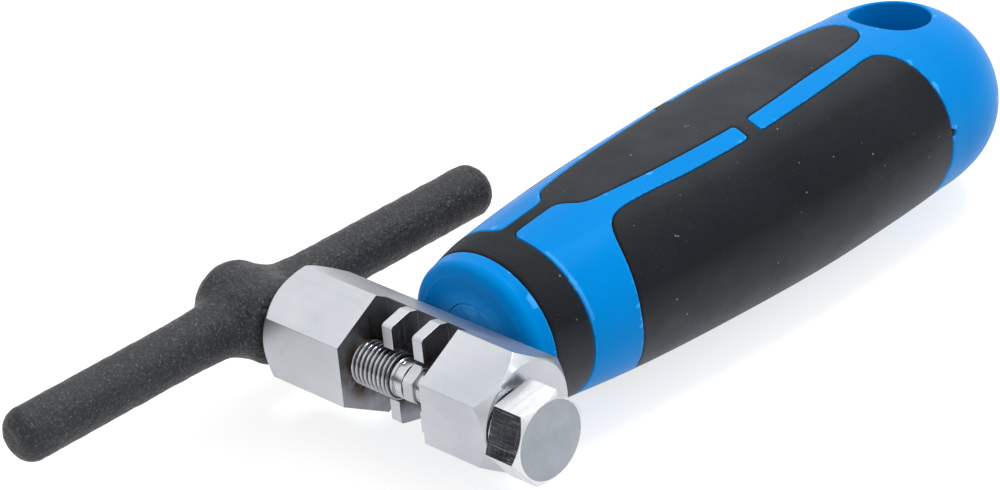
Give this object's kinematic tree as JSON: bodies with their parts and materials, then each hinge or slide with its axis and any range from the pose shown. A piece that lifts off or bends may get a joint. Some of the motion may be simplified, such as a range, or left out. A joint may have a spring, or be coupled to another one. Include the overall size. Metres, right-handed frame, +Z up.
{
  "type": "bicycle chain tool",
  "caption": "Handheld chain rivet tool: hexagonal steel body with a toothed cradle, a T-bar screw that drives a pin across it, and a two-component handle.",
  "frame": {"origin": "bottom centre of the tool's bounding box", "axes": "+X along the screw from the T-bar towards the end bolt, +Y along the handle away from the body, +Z up through the teeth of the cradle"},
  "size_m": [0.0776, 0.1898, 0.0368],
  "materials": {
    "body_steel": "satin machined",
    "bright_steel": "bright turned",
    "black_coating": "fine wrinkle powder coat",
    "blue_plastic": "semi-gloss moulded",
    "black_rubber": "matt soft-touch overmould"
  },
  "bodies": {
    "frame": {"tool_body": "body_steel", "handle_core": "blue_plastic", "handle_plug": "blue_plastic", "rubber_grip": "black_rubber", "handle_tang": "body_steel"},
    "pin_carrier": {"drive_pin": "bright_steel"},
    "screw": {"spindle": "bright_steel", "t_bar": "black_coating", "pin_holder": "bright_steel"},
    "spare_pin_carrier": {"spare_pin": "bright_steel"},
    "bolt": {"end_bolt": "bright_steel"}
  },
  "joints": [
    {"name": "spindle_feed", "type": "slide", "parent": "frame", "child": "pin_carrier", "axis": [1, 0, 0], "range_m": [-0.0186, 0.00105]},
    {"name": "spindle_turn", "type": "hinge", "parent": "pin_carrier", "child": "screw", "pos_m": [-0.02, -0.0433, 0.01841], "axis": [1, 0, 0], "range_deg": [-6660, 360]},
    {"name": "bolt_feed", "type": "slide", "parent": "frame", "child": "spare_pin_carrier", "axis": [1, 0, 0], "range_m": [0, 0.0096]},
    {"name": "bolt_turn", "type": "hinge", "parent": "spare_pin_carrier", "child": "bolt", "pos_m": [0.03, -0.0433, 0.01841], "axis": [1, 0, 0], "range_deg": [0, 3420]}
  ],
  "couplings": [
    {"joint": "spindle_feed", "follows": "spindle_turn", "m_per_rad": 0.00015915},
    {"joint": "bolt_feed", "follows": "bolt_turn", "m_per_rad": 0.00015915}
  ]
}
